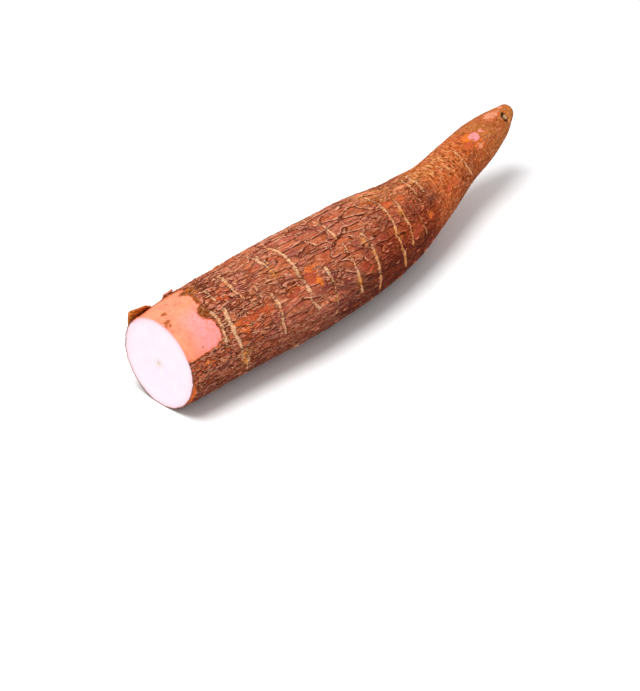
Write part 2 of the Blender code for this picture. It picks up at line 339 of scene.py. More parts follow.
def outward(along, around):
    """The unit direction away from the centreline."""
    ahead = centre(along + 0.5) - centre(along - 0.5)
    side = np.cross(np.broadcast_to((0.0, 0.0, 1.0), ahead.shape), ahead)
    side /= np.linalg.norm(side, axis=-1, keepdims=True)
    up = np.cross(ahead, side)
    up /= np.linalg.norm(up, axis=-1, keepdims=True)
    angle = np.radians(around)[..., None]
    return np.cos(angle) * up - np.sin(angle) * side


def skin_point(along, around, raised):
    """The point that lies this far outside the girth, slanted with the cut and the tip."""
    point = centre(along) + (girth(along) + raised)[..., None] * outward(along, around)
    point[..., 0] += slanted(along, around)
    return point


def unrounded(along):
    """The radius, without the rounding of the tip."""
    return girth(np.minimum(along, LENGTH))


def mm_per_degree(along):
    """The way round the skin that one degree takes."""
    return np.radians(unrounded(along))


def on_cylinder(along, around, length, width):
    """Places for the noise functions, that close on themselves round the root."""
    radius = unrounded(along) / width
    angle = np.radians(around)
    return np.stack([along / length, radius * np.cos(angle), radius * np.sin(angle)], axis=-1)


def sampled(function, places):
    """A noise function's value at every place."""
    values = [function(place) for place in places.reshape(-1, 3).tolist()]
    return np.array(values).reshape(*places.shape[:-1], *np.shape(values[0]))


def wrapped(angle):
    """The same angle, from -180 to 180."""
    return (angle + 180) % 360 - 180


def slanted(along, around):
    """How much further along a point lies through the slant of the cut and of the tip."""
    cut = CUT_TILT * (1 - smooth(along / CUT_FADE))
    tip = TIP_TILT * smooth((along - TIP_TILT_FROM) / (LENGTH - TIP_TILT_FROM))
    return (cut + tip) * girth(along) * np.cos(np.radians(around))


def lumps(along, around):
    """The low, broad unevenness of the whole root."""
    return LUMP_HEIGHT * sampled(noise.noise, on_cylinder(along, around, LUMP_SIZE, LUMP_SIZE))


def from_line(line, along, around):
    """How far each point is from a line through points of (along, around)."""
    nearest = np.full(along.shape, 1e9)
    to_mm = mm_per_degree(along)
    for (x0, a0), (x1, a1) in zip(line, line[1:]):
        run = np.stack(np.broadcast_arrays(x1 - x0, (a1 - a0) * to_mm), axis=-1)
        off = np.stack([along - x0, wrapped(around - a0) * to_mm], axis=-1)
        share = np.clip((run * off).sum(-1) / (run**2).sum(-1), 0, 1)
        gap = np.linalg.norm(off - share[..., None] * run, axis=-1)
        nearest = np.minimum(nearest, gap)
    return nearest


def inside_outline(outline, along, around):
    """The distance to a closed outline, in millimetres, positive inside it."""
    nearest = from_line(outline + outline[:1], along, around)
    inside = np.zeros(along.shape, dtype=bool)
    angle = wrapped(around)
    for (x0, a0), (x1, a1) in zip(outline, outline[1:] + outline[:1]):
        if a0 != a1:
            crosses = (a0 > angle) != (a1 > angle)
            inside ^= crosses & (along < x0 + (angle - a0) * (x1 - x0) / (a1 - a0))
    return np.where(inside, nearest, -nearest)


def net(along, around, length, width, warp, shift):
    """A net of long cells, like cracked bark. Gives how far each point is from its cell's edge in
    millimetres, the same with a minus sign on the upper side of the edge, and a number from 0 to 1
    that belongs to the cell."""
    places = on_cylinder(along, around, length, width) + shift
    places = places + warp * sampled(noise.noise_vector, places * 0.9)
    places = places + 0.3 * warp * sampled(noise.noise_vector, places * 2.9)
    pairs = [noise.voronoi(place)[1][:2] for place in places.reshape(-1, 3).tolist()]
    pairs = np.array([[here[:], there[:]] for here, there in pairs]).reshape(*along.shape, 2, 3)
    here, there = pairs[..., 0, :], pairs[..., 1, :]
    across = there - here
    across /= np.linalg.norm(across, axis=-1, keepdims=True)
    angle = np.radians(around)
    down = across[..., 2] * np.cos(angle) - across[..., 1] * np.sin(angle)
    steep = np.hypot(across[..., 0] / length, down / width) + 0.1 / length
    gap = (((here + there) / 2 - places) * across).sum(-1) / steep
    number = np.modf(np.abs(np.sin(here @ (12.9, 78.2, 37.7)) * 43758.5))[0]
    return gap, np.where(down < 0, gap, -gap), number


def bell(x):
    """1 at 0, falling away softly to both sides."""
    return np.exp(-(x**2))


def blots(places, along, around):
    """Soft-edged blots at the given places, 0 to 1."""
    ragged = sampled(noise.noise, on_cylinder(along, around, 9.0, 5.0) + 61)
    to_mm = mm_per_degree(along)
    total = np.zeros(along.shape)
    for place, middle, half_length, half_width, strength in places:
        across = wrapped(around - middle) * to_mm
        near = bell((along - place) / half_length) * bell(across / half_width)
        total = np.maximum(total, strength * near)
    return np.clip(total * (1 + 0.7 * ragged), 0, 1)


def bark(along, around):
    """The relief of the bark and the fields that its colour follows, as a dictionary of arrays."""
    fibre = sampled(noise.noise, on_cylinder(along, around, 6.0, 0.9))
    wrinkle = sampled(noise.noise, on_cylinder(along, around, 1.7, 3.2) + 33)
    patchy = sampled(noise.noise, on_cylinder(along, around, 24.0, 15.0) + 40)

    aside = np.abs(wrapped(around - BRIGHT_SIDE))
    angle = wrapped(around)
    middle = smooth((along - 50) / 26) * (1 - smooth((along - 176) / 26))
    low = smooth((aside - 52) / 42)
    plates = middle * (1 - 0.45 * low) * smooth(1.05 + 1.6 * patchy)
    neck = smooth((along - NECK + 14) / 26)
    tip = smooth((along - 272) / 30)
    shoulder = smooth((along - 162) / 30)
    fine = (1 - 0.8 * plates) * (1 - 0.6 * neck) * (1 - 0.5 * tip) * (1 - 0.45 * shoulder)

    edge, below, cell = net(along, around, 17.0, 5.3, 0.36, 0.0)
    fine_edge, fine_below, fine_cell = net(along, around, 7.6, 2.7, 0.36, 17.0)
    height = plates * (0.35 * (cell - 0.5) + 0.3 * bell((below + 0.6) / 0.5))
    height -= plates * 0.55 * bell((below - 0.3) / 0.4)
    height += fine * (0.45 * (fine_cell - 0.5) + 0.16 * bell((fine_below + 0.5) / 0.4))
    height -= fine * 0.4 * bell((fine_below - 0.2) / 0.35)
    height += 0.12 * fibre + 0.16 * wrinkle * (0.4 + 0.6 * neck) * (1 - 0.6 * tip)

    # Painted shade: the bark turns darker away from BRIGHT_SIDE, most on the lower side and behind the
    # middle, where less light falls. It is laid on as dark purple, together with the dusky blots.
    deep = smooth((along - 96) / 50) * (1 - smooth((along - 200) / 18))
    shade = low * (0.30 + 0.70 * deep + 0.34 * neck) * (1 - 0.4 * neck - 0.4 * tip)
    shade += 0.42 * smooth((aside - 84) / 22) * (1 - 0.5 * neck)
    shade += 0.35 * deep * smooth((aside - 22) / 44)
    ruddy_top = 0.5 * smooth((along - 150) / 30) * smooth((aside + 6) / 20)
    ruddy = smooth((along - 110) / 60) * np.maximum(smooth((aside - 16) / 40), ruddy_top)
    crest = smooth((12 - angle) / 22) * smooth((angle + 60) / 30)
    flecks = smooth((along - 212) / 16) * (1 - smooth((along - 262) / 20))
    flecks *= 1 - 0.6 * smooth((angle - 20) / 26)
    return dict(
        height=height, edge=edge, below=below, cell=cell, fine_edge=fine_edge,
        fine_below=fine_below, fine_cell=fine_cell, plates=plates, fine=fine, neck=neck, tip=tip,
        gold=blots(GOLD_PLACES, along, around),
        rust=blots(RUST_PLACES, along, around),
        ruddy=ruddy * (1 - 0.5 * neck - 0.3 * tip),
        mottle=shoulder * (1 - 0.5 * tip),
        crest=crest * (1 - 0.7 * neck),
        flecks=flecks,
        painted_shade_and_dusky=np.clip(np.maximum(shade, blots(DUSKY_PLACES, along, around)), 0, 1),
    )


def welts(along, around):
    """How far inside a welt each point is, as a share of its half width: 1 on its middle line, 0
    at its edge, and less than 0 outside."""
    wander = 0.9 * sampled(noise.noise, on_cylinder(along, around, 9.0, 6.0) + 9)
    uneven = 0.6 * sampled(noise.noise, on_cylinder(along, around, 3.0, 2.4))
    uneven += 0.75 * sampled(noise.noise, on_cylinder(along, around, 14.0, 7.0) + 51)
    inside = np.full(along.shape, -3.0)
    for line, half_width in WELTS:
        gap = from_line(line, along + wander, around)
        inside = np.maximum(inside, 1 - gap / half_width)
    return inside + uneven


def within_oval(along, around, place, middle, half_length, half_width, tilt):
    """How far inside a tilted oval each point is, in millimetres."""
    x = along - place
    y = wrapped(around - middle) * mm_per_degree(along)
    turn = math.radians(tilt)
    u = (x * math.cos(turn) + y * math.sin(turn)) / half_length
    v = (y * math.cos(turn) - x * math.sin(turn)) / half_width
    return (1 - np.hypot(u, v)) * min(half_length, half_width)


def bare_places(along, around):
    """The bare inner bark: how far inside its edge each point is in millimetres, how pink it is,
    and the big patch's crumbs and specks. Then how far inside a scuff each point is, and its hue."""
    angle = wrapped(around)
    ragged = sampled(noise.noise, on_cylinder(along, around, 4.0, 4.0))
    ragged += 0.7 * sampled(noise.noise, on_cylinder(along, around, 1.8, 1.4) + 5)
    inside = inside_outline(BIG_PATCH, along, around) + ragged
    crumbs = 0.4 * bell((inside + 0.9) / 1.2) * smooth((along - 17) / 5)
    crumbs *= smooth((angle + 48) / 20) * (1 - smooth((angle - 34) / 14))
    crumbs = np.maximum(crumbs, blots(CRUMB_PLACES, along, around))
    for place in PEELED:
        inside = np.maximum(inside, within_oval(along, around, *place) + 1.2 * ragged)
    pink = smooth((along - 4) / 13) * smooth((angle - 4) / 24)

    scuff = np.full(along.shape, -9.0)
    hue = np.full(along.shape, 0.6)
    torn = ragged + 0.9 * sampled(noise.noise, on_cylinder(along, around, 3.2, 1.3) + 83)
    for *place, own_hue in SCUFFS:
        within = within_oval(along, around, *place) + 1.3 * torn
        share = smooth(within / 1.2 + 0.6)
        hue = hue * (1 - share) + own_hue * share
        scuff = np.maximum(scuff, within)
    return dict(
        inside=np.clip(inside, -4, 4), pink=pink, crumbs=crumbs,
        specks=blots(SPECK_PLACES, along, around), scuff=np.clip(scuff, -3, 3), hue=hue,
    )


def stub_relief(along, around):
    """The broken foot of a side root: a collar with a pit and a small knob in it. Gives their
    height, how dark the pit is, painted as shadow that is darker on one side, and how pale
    the knob is at each point."""
    x = (along - STUB[0]) / STUB_SIZE
    y = wrapped(around - STUB[1]) * mm_per_degree(along) / STUB_SIZE
    off = np.hypot(x, y * 0.9)
    collar = bell((off - 3.7) / 0.9)
    pit = 1 - smooth((off - 2.5) / 0.8)
    knob = 1 - smooth((off - 1.0) / 0.6)
    # Painted shadow: the pit is dark, darker on one side.
    shaded = 1 - 0.85 * smooth((x + 0.2 + 0.3 * y) / 1.8)
    return 0.5 * collar - 0.9 * pit + 0.8 * knob, np.clip(pit - knob, 0, 1) * shaded, knob


def skin_fields(along, around):
    """The whole relief of the skin, and every field that its colour follows."""
    fields = bark(along, around)
    fields |= bare_places(along, around)
    fields["welt"] = welts(along, around)
    worn = smooth((-np.cos(np.radians(around)) - 0.92) / 0.06)
    bare = smooth(fields["inside"] / 0.7 + 0.5)
    scuffed = smooth(fields["scuff"] / 0.8 + 0.5)
    welt = smooth(fields["welt"] / 0.8) * (1 - bare)
    scar, fields["pit"], fields["knob"] = stub_relief(along, around)
    rough = fields["height"] * (1 - bare) * (1 - 0.8 * welt) * (1 - 0.7 * scuffed)
    rough += WELT_HEIGHT * welt - SCUFF_DEPTH * scuffed
    grit = sampled(noise.noise, on_cylinder(along, around, 1.5, 1.5) + 90)
    rough += fields["crumbs"] * (0.35 + 0.8 * grit)
    waxy = 0.06 * sampled(noise.noise, on_cylinder(along, around, 5.0, 3.0) + 70) * bare
    raised = lumps(along, around) + (1 - worn) * rough + waxy - PATCH_DEPTH * bare + scar
    fields["height"] = raised
    return fields


# The fields that the skin's mesh carries for its materials.
MASKS = (
    "edge", "below", "cell", "fine_edge", "fine_below", "fine_cell", "plates", "fine", "neck", "tip",
    "gold", "rust", "ruddy", "mottle", "crest", "flecks", "painted_shade_and_dusky", "inside", "pink", "crumbs",
    "specks", "scuff", "hue", "welt", "pit", "knob",
)


def add_mask(mesh, name, values, kind="FLOAT", item="value"):
    """Gives each point of the mesh a number, or a vector, for its materials to use."""
    layer = mesh.attributes.new(name, kind, "POINT")
    layer.data.foreach_set(item, np.asarray(values, dtype=np.float32).ravel())


def add_object(name, data):
    """A new object in the scene."""
    thing = bpy.data.objects.new(name, data)
    bpy.context.scene.collection.objects.link(thing)
    return thing


def mesh_object(name, points, faces):
    """A mesh whose points, in millimetres from the cut end, stay inside the solid's own box. They
    may lie on the ground all the same."""
    low, high = np.array(cad_box)
    places = np.clip((points - ORIGIN) * MM, low + BOX_MARGIN, high - BOX_MARGIN)
    places[:, 2] = np.maximum(points[:, 2] * MM, 0.0).clip(max=high[2] - BOX_MARGIN)
    mesh = bpy.data.meshes.new(name)
    mesh.from_pydata(places.tolist(), [], faces)
    mesh.update()
    return add_object(name, mesh)


def tube_faces(rings, sides):
    """Quads of a closed tube, whose points come ring by ring."""
    faces = []
    for ring in range(rings - 1):
        a, b = ring * sides, (ring + 1) * sides
        for side in range(sides):
            after = (side + 1) % sides
            faces.append((a + side, a + after, b + after, b + side))
    return faces


def make_skin():
    """The bark from the cut end to the tip, closed at the cut by the disc of flesh."""
    straight = np.linspace(0.0, LENGTH, RINGS)
    rings = np.concatenate([straight, LENGTH + TIP_ROUND * np.sin(TIP_ANGLES)])
    angles = np.arange(SIDES) * 360 / SIDES
    along, around = np.meshgrid(rings, angles, indexing="ij")
    fields = skin_fields(along, around)
    points = skin_point(along, around, fields["height"])
    points[..., 2] = np.maximum(points[..., 2], 0.0)

    # The cut: rings that run from the core to the rim of the bark, round at first.
    rim = points[0]
    heart = centre(np.array(0.0))
    radii = np.linalg.norm(rim - heart, axis=-1)
    even = radii.mean()
    disc = []
    for share in CUT_SHARES:
        blend = smooth((0.97 - share) / 0.2)
        length = share * (radii * (1 - blend) + even * blend)
        disc.append(heart + (rim - heart) / radii[:, None] * length[:, None])
    disc = np.array(disc)
    disc[..., 0] += CORE_SUNK * bell(np.linalg.norm(disc - heart, axis=-1) / CORE_WIDTH)

    core = heart + (CORE_SUNK, 0, 0)
    tip = centre(np.array(LENGTH + TIP_ROUND * TIP_END))
    all_points = np.concatenate([disc.reshape(-1, 3), points.reshape(-1, 3), [core, tip]])
    count = len(disc) + len(rings)
    faces = tube_faces(count, SIDES)
    hub, end = len(all_points) - 2, len(all_points) - 1
    last = (count - 1) * SIDES
    for side in range(SIDES):
        after = (side + 1) % SIDES
        faces.append((after, side, hub))
        faces.append((last + side, last + after, end))
    skin = mesh_object("root_skin", all_points, faces)
    mesh = skin.data
    # The disc's faces are of flesh, and so is every other face of those added last.
    cut_points = len(disc) * SIDES
    flesh = np.zeros(len(mesh.polygons), dtype=np.int32)
    flesh[:cut_points] = 1
    flesh[last::2] = 1
    mesh.polygons.foreach_set("material_index", flesh)

    for name in MASKS:
        values = fields[name]
        inner = np.broadcast_to(values[0], (len(disc), SIDES))
        add_mask(mesh, name, np.concatenate([inner.ravel(), values.ravel(), [0, values[-1].mean()]]))
    places = on_cylinder(along, around, 1.0, 1.0)
    places = np.concatenate([disc.reshape(-1, 3), places.reshape(-1, 3), [heart, tip]])
    add_mask(mesh, "place", places, "FLOAT_VECTOR", "vector")
    to_heart = np.linalg.norm(disc - heart, axis=-1)
    depth = np.zeros(len(mesh.vertices))
    depth[:cut_points] = (radii - to_heart).ravel()
    depth[hub] = even
    add_mask(mesh, "depth", depth)
    off = np.full(len(mesh.vertices), even)
    off[:cut_points] = to_heart.ravel()
    off[hub] = 0.0
    add_mask(mesh, "from_heart", off)
    mesh.shade_smooth()
    mesh.set_sharp_from_angle(angle=math.radians(60))
    return skin


def shell(outer, inner):
    """A thin closed shell from a grid of outer points and the matching inner ones."""
    rows, columns = outer.shape[:2]
    points = np.concatenate([outer.reshape(-1, 3), inner.reshape(-1, 3)])
    half = rows * columns
    faces = []
    for i in range(rows - 1):
        for j in range(columns - 1):
            a, b = i * columns + j, (i + 1) * columns + j
            faces.append((a, b, b + 1, a + 1))
            faces.append((half + a, half + a + 1, half + b + 1, half + b))
    border = [(0, j) for j in range(columns - 1)]
    border += [(i, columns - 1) for i in range(rows - 1)]
    border += [(rows - 1, j) for j in range(columns - 1, 0, -1)]
    border += [(i, 0) for i in range(rows - 1, 0, -1)]
    loop = [i * columns + j for i, j in border]
    for a, b in zip(loop, loop[1:] + loop[:1]):
        faces.append((a, b, half + b, half + a))
    return points, faces


def flake(place, hinge, free, length, lift, end_lift, thickness, rough, seed, steps):
    """One flap or scrap of bark, sunk in the skin at its hinge and curling clear of it at its free
    edge. Gives its points and faces, and how near each point is to the free edge, 0 to 1."""
    u = np.linspace(-1, 1, steps[0])[:, None] * np.ones(steps[1])
    v = np.linspace(0, 1, steps[1])[None, :] * np.ones((steps[0], 1))
    wave = sampled(noise.noise, np.stack([u * 1.7 + seed * 3.1, v * 1.3, u * 0 + seed], axis=-1))
    tooth = sampled(noise.noise, np.stack([u * 5.0 + seed, v * 0 + 7, u * 0 + seed], axis=-1))
    reach = 1 - 0.35 * u**2 + rough * (0.25 * wave + 0.2 * tooth * v)
    around = hinge + (free - hinge) * v * reach
    along = place + u * length / 2 * (1 - 0.35 * rough * v**2) + 0.4 * wave
    along = np.maximum(along, CUT_GAP)
    base = lumps(along, around)
    height = lift + (end_lift - lift) * (u + 1) / 2
    curl = height * (1 + 0.4 * rough * wave) * v**1.3 - HINGE_DEPTH * (1 - v) ** 1.5
    outer = skin_point(along, around, base + curl + thickness / 2)
    inner = skin_point(along, around, base + curl - thickness / 2)
    if free > hinge:
        outer, inner = outer[::-1], inner[::-1]
    points, faces = shell(outer, inner)
    return points, faces, np.concatenate([v.ravel(), v.ravel()])


def make_flakes():
    """The flaps of bark, and about a hundred small curled scraps all over the root. The first
    flap's tone makes it orange brown, and the scraps turn ruddy past the root's middle."""
    rng = np.random.default_rng(SCRAP_SEED)
    pieces = []
    for number, shape in enumerate(FLAPS):
        flap = flake(*shape, FLAP_THICKNESS, 0.3, number + 1, FLAP_GRID)
        pieces.append((flap, float(number == 0), 0.0))
    for number in range(SCRAPS):
        place = rng.uniform(34, 236)
        around = rng.uniform(-180, 180)
        if abs(wrapped(around - 180)) < UNDERSIDE:
            continue
        width = math.degrees(rng.uniform(1.0, 2.2) / float(girth(np.array(place))))
        length = rng.uniform(2.5, 7.0)
        lift = rng.uniform(0.12, 0.4)
        tone = rng.uniform(0, 0.6)
        shape = (place, around, around + width, length, lift, lift)
        scrap = flake(*shape, SCRAP_THICKNESS, 1.0, number + 20, SCRAP_GRID)
        pieces.append((scrap, tone, float(smooth((place - 140) / 50))))
    points, faces, masks, start = [], [], [], 0
    for (some_points, some_faces, rim), tone, ruddy in pieces:
        points.append(some_points)
        faces += [tuple(start + i for i in face) for face in some_faces]
        masks.append(np.stack([np.full(len(rim), tone), np.full(len(rim), ruddy), rim]))
        start += len(some_points)
    flakes = mesh_object("lifted_bark", np.concatenate(points), faces)
    for name, values in zip(("tone", "ruddy", "rim"), np.concatenate(masks, axis=1)):
        add_mask(flakes.data, name, values)
    flakes.data.shade_smooth()
    flakes.data.set_sharp_from_angle(angle=math.radians(50))
    return flakes


class Nodes:
    """A small helper that adds and joins the nodes of one material."""

    def __init__(self, name):
        self.material = bpy.data.materials.new(name)
        self.material.use_nodes = True
        self.tree = self.material.node_tree
        self.shader = self.tree.nodes["Principled BSDF"]

    def set(self, socket, value):
        """Joins a socket to another one, or gives it a number or a colour."""
        if isinstance(value, bpy.types.NodeSocket):
            self.tree.links.new(value, socket)
        else:
            socket.default_value = (*value, 1) if len(np.shape(value)) and len(value) == 3 else value

    def add(self, kind, inputs=None, **settings):
        """A new node. inputs holds what its sockets are set to, by their names or numbers."""
        node = self.tree.nodes.new("ShaderNode" + kind)
        for name, value in settings.items():
            setattr(node, name, value)
        for name, value in (inputs or {}).items():
            self.set(node.inputs[name], value)
        return node

    def mask(self, name):
        return self.add("Attribute", attribute_name=name).outputs["Fac"]

    def place(self, scale, shift):
        """The point's place on the root, in millimetres, divided by scale."""
        place = self.add("Attribute", attribute_name="place").outputs["Vector"]
        mapping = self.add("Mapping", {"Vector": place})
        mapping.inputs["Scale"].default_value = [1 / s for s in scale]
        mapping.inputs["Location"].default_value = (shift, shift, shift)
        return mapping.outputs["Vector"]

    def noise(self, scale, detail=3, roughness=0.55, distortion=0.0, shift=0.0):
        inputs = {"Vector": self.place(scale, shift), "Scale": 1, "Detail": detail}
        inputs |= {"Roughness": roughness, "Distortion": distortion}
        return self.add("TexNoise", inputs).outputs["Fac"]

    def ramp(self, value, start, end, low=0.0, high=1.0):
        """value's way from start to end, smoothed, as low to high."""
        inputs = {"Value": value, "From Min": start, "From Max": end, "To Min": low, "To Max": high}
        return self.add("MapRange", inputs, interpolation_type="SMOOTHSTEP").outputs["Result"]

    def math(self, operation, a, b=0.0):
        return self.add("Math", {0: a, 1: b}, operation=operation).outputs[0]

    def mix(self, share, a, b):
        """Colour a, turned into colour b by this share."""
        return self.add("Mix", {0: share, 6: a, 7: b}, data_type="RGBA").outputs[2]

    def mix_value(self, share, a, b):
        return self.add("Mix", {0: share, 2: a, 3: b}, data_type="FLOAT").outputs[0]

    def times(self, *values):
        """The product of all the values."""
        product = values[0]
        for value in values[1:]:
            product = self.math("MULTIPLY", product, value)
        return product

    def laid(self, colour, other, value, start, end, most, *where):
        """The colour with another laid over it where value has gone from start to end. most is
        the other colour's largest share, and the values in where bring it down from that."""
        share = self.times(self.ramp(value, start, end, 0, most), *where)
        return self.mix(share, colour, other)

    def lip(self):
        """The colour of the pale upper edge of a crack, laid on as a painted highlight."""
        return self.mix(self.ramp(self.mask("ruddy"), 0.2, 0.9), LIP, RED_LIP)

    def shake(self, value, amount):
        """A noise value turned into a swing of this many units either way."""
        return self.math("MULTIPLY", self.math("SUBTRACT", value, 0.5), 2 * amount)

    def line(self, across, middle, half, wobble):
        """1 on the line where across equals middle, falling to 0 at half to either side."""
        off = self.math("ADD", self.math("SUBTRACT", across, middle), wobble)
        return self.ramp(self.math("ABSOLUTE", off), half, 0.35 * half)

    def surface(self, colour, roughness, specular):
        """Gives the shader its colour, roughness and gloss."""
        self.set(self.shader.inputs["Base Color"], colour)
        self.set(self.shader.inputs["Roughness"], roughness)
        self.set(self.shader.inputs["Specular IOR Level"], specular)

    def bump(self, height, distance):
        return self.add("Bump", {"Height": height, "Distance": distance}).outputs["Normal"]


# Colours, as linear light. First the bark's, then the welts', the inner bark's, the scuffs', the
# crumbs', the stub's, the flesh's, the loose bark's and the floor's.
MAUVE = (0.56, 0.134, 0.092)
BROWN = (0.66, 0.158, 0.046)
RED_BROWN = (0.56, 0.098, 0.042)
# Dark purple streaks, and the painted shade on the lower side and over the dusky blots.
PURPLE = (0.066, 0.009, 0.009)
VIOLET = (0.25, 0.052, 0.058)
RUDDY = (0.44, 0.034, 0.006)
UMBER = (0.40, 0.094, 0.026)
GOLD = (0.88, 0.34, 0.075)
RUST = (0.84, 0.150, 0.026)
# Dark grain and specks, and the painted shadow in cracks and creases and round the welts.
DARK = (0.115, 0.016, 0.003)
# Pale crack lips and ridges, painted as highlights, and pale fibres and flecks.
LIP = (1.0, 0.485, 0.29)
RED_LIP = (0.86, 0.235, 0.090)
NECK_BROWN = (0.79, 0.195, 0.034)
NECK_FLECK = (1.0, 0.48, 0.19)
TIP_TAN = (0.60, 0.210, 0.048)
TIP_BROWN = (0.56, 0.138, 0.032)
TIP_ROSE = (0.74, 0.20, 0.100)
CREAM = (1.0, 0.565, 0.325)
TAN = (0.88, 0.39, 0.165)
CORK_GOLD = (0.94, 0.37, 0.100)
PEEL_ORANGE = (0.90, 0.24, 0.135)
PEEL_PEACH = (0.92, 0.31, 0.17)
PEEL_PINK = (0.95, 0.30, 0.29)
PEEL_DEEP = (0.84, 0.19, 0.11)
PEEL_SPECK = (0.30, 0.080, 0.02)
SCUFF_PINK = (1.0, 0.36, 0.37)
SCUFF_PEACH = (0.88, 0.34, 0.18)
SCUFF_ORANGE = (0.98, 0.25, 0.030)
SCUFF_RED = (0.74, 0.135, 0.040)
SCUFF_DARK = (0.40, 0.058, 0.028)
CRUMB = (0.53, 0.132, 0.020)
CRUMB_DARK = (0.24, 0.056, 0.010)
# The stub's pit, painted as shadow.
PIT = (0.022, 0.010, 0.003)
KNOB = (0.62, 0.40, 0.20)
FLESH = (0.80, 0.70, 0.785)
FLESH_WHITE = (0.80, 0.74, 0.80)
FLESH_PINK = (0.82, 0.64, 0.71)
RIND = (0.84, 0.47, 0.50)
CUT_SKIN = (0.16, 0.05, 0.025)
HEART = (0.66, 0.50, 0.40)
FLAKE_RED = (0.46, 0.075, 0.026)
FLAP_ORANGE = (0.70, 0.20, 0.030)
FLAP_BROWN = (0.26, 0.070, 0.012)
FLOOR_GREY = (0.93, 0.93, 0.935)


def bark_colour(n, fibre, grain, streak, speck):
    """The whole bark, before anything has come off it."""
    cloud = n.noise((30.0, 18.0, 18.0), detail=2, shift=30)
    cell = n.mix_value(n.mask("plates"), n.mask("fine_cell"), n.mask("cell"))
    colour = n.mix(n.ramp(cell, 0.30, 0.75, 0.2, 0.72), MAUVE, BROWN)
    colour = n.laid(colour, RED_BROWN, cell, 0.78, 0.95, 0.45)
    colour = n.laid(colour, UMBER, cloud, 0.52, 0.30, 0.6)
    colour = n.laid(colour, RUST, streak, 0.56, 0.74, 0.4)
    colour = n.laid(colour, PURPLE, streak, 0.42, 0.28, 0.6)
    stain = n.noise((11.0, 6.0, 6.0), detail=3, shift=63)
    colour = n.laid(colour, VIOLET, stain, 0.53, 0.66, 0.6)

    neck = n.mix(n.ramp(streak, 0.45, 0.68, 0, 0.7), NECK_BROWN, RUST)
    neck = n.laid(neck, UMBER, cloud, 0.50, 0.34, 0.6)
    colour = n.mix(n.times(n.mask("neck"), 0.92), colour, neck)
    tip = n.mix(n.ramp(cloud, 0.4, 0.6), TIP_TAN, TIP_BROWN)
    tip = n.laid(tip, TIP_ROSE, stain, 0.54, 0.66, 0.6)
    tip = n.laid(tip, GOLD, speck, 0.56, 0.70, 0.5)
    tip = n.laid(tip, UMBER, streak, 0.44, 0.30, 0.5)
    colour = n.mix(n.times(n.mask("tip"), 0.85), colour, tip)
    colour = n.mix(n.times(n.mask("ruddy"), 0.7), colour, RUDDY)
    colour = n.mix(n.times(n.mask("rust"), n.ramp(streak, 0.35, 0.6, 0.35, 0.95)), colour, RUST)
    colour = n.mix(n.times(n.mask("gold"), n.ramp(speck, 0.35, 0.6, 0.3, 0.95)), colour, GOLD)
    # Painted shade: dark purple over the lower side and behind the middle, and over the dusky blots.
    colour = n.mix(n.times(n.mask("painted_shade_and_dusky"), n.ramp(streak, 0.7, 0.45, 0.45, 0.92)), colour, PURPLE)

    rough = n.mix_value(n.mask("plates"), 1.0, 0.7)
    lip = n.lip()
    # The shoulder's mottling is fainter under the painted shade.
    mottle = n.times(n.mask("mottle"), n.math("SUBTRACT", 1.0, n.times(n.mask("painted_shade_and_dusky"), 0.4)))
    crest = n.mask("crest")
    colour = n.laid(colour, DARK, streak, 0.47, 0.38, 0.5, crest)
    colour = n.laid(colour, lip, streak, 0.54, 0.64, 0.5, crest)
    colour = n.laid(colour, DARK, speck, 0.46, 0.34, 0.55, mottle)
    fleck = n.mix(n.mask("neck"), lip, NECK_FLECK)
    colour = n.laid(colour, fleck, speck, 0.55, 0.66, 0.45, mottle)
    colour = n.laid(colour, DARK, grain, 0.44, 0.28, 0.55, rough)
    colour = n.laid(colour, DARK, fibre, 0.46, 0.30, 0.6, rough)
    return n.laid(colour, lip, fibre, 0.56, 0.72, 0.55, rough)


def cracked(n, colour, grain, fibre, prefix, share, size, strength):
    """Draws one net's dark cracks, partly painted shadow, and the pale lips above them, painted
    highlights. size is the crack's half width.
    """
    below = n.mask(prefix + "below")
    close = n.ramp(n.mask(prefix + "edge"), 4.0 * size, 2.4 * size)
    wobble = n.math("ADD", n.shake(grain, 0.8 * size), n.shake(fibre, 0.5 * size))
    # Painted shadow and highlight: the dark crack lies below the cell's edge and the pale lip above it.
    crack = n.times(n.line(below, 0.55 * size, size, wobble), close, share)
    lip = n.times(n.line(below, -1.1 * size, 1.15 * size, wobble), close, share)
    broken = n.noise((7.0, 3.0, 3.0), detail=2, shift=size * 50)
    lip = n.times(lip, n.ramp(broken, 0.38, 0.60, 0.05, 1.0))
    # The painted highlight is weaker under the painted shade.
    lit = n.math("SUBTRACT", 1.0, n.times(n.mask("painted_shade_and_dusky"), 0.6))
    lit = n.times(lit, n.mix_value(n.mask("plates"), 0.72, 1.0), strength)
    colour = n.mix(n.times(lip, lit), colour, n.lip())
    colour = n.mix(n.times(crack, n.ramp(broken, 0.30, 0.5, 0.45, 1.0), 0.95), colour, DARK)
    return colour, crack, lip


def wrinkled(n, colour, scale, shift, share):
    """Draws long fine wrinkles: dark creases, partly painted shadow, each with a pale ridge beside it
    painted as a highlight.
    """
    level = n.noise(scale, detail=2, roughness=0.5, distortion=0.25, shift=shift)
    crease = n.times(n.line(level, 0.46, 0.045, 0.0), share)
    ridge = n.times(n.line(level, 0.545, 0.036, 0.0), share)
    # Painted highlight: the ridge is paler, less so under the painted shade.
    lit = n.math("SUBTRACT", n.mix_value(n.mask("plates"), 0.5, 0.6), n.times(n.mask("painted_shade_and_dusky"), 0.35))
    colour = n.mix(n.times(ridge, lit), colour, n.lip())
    return n.mix(n.times(crease, 0.68), colour, DARK), crease, ridge


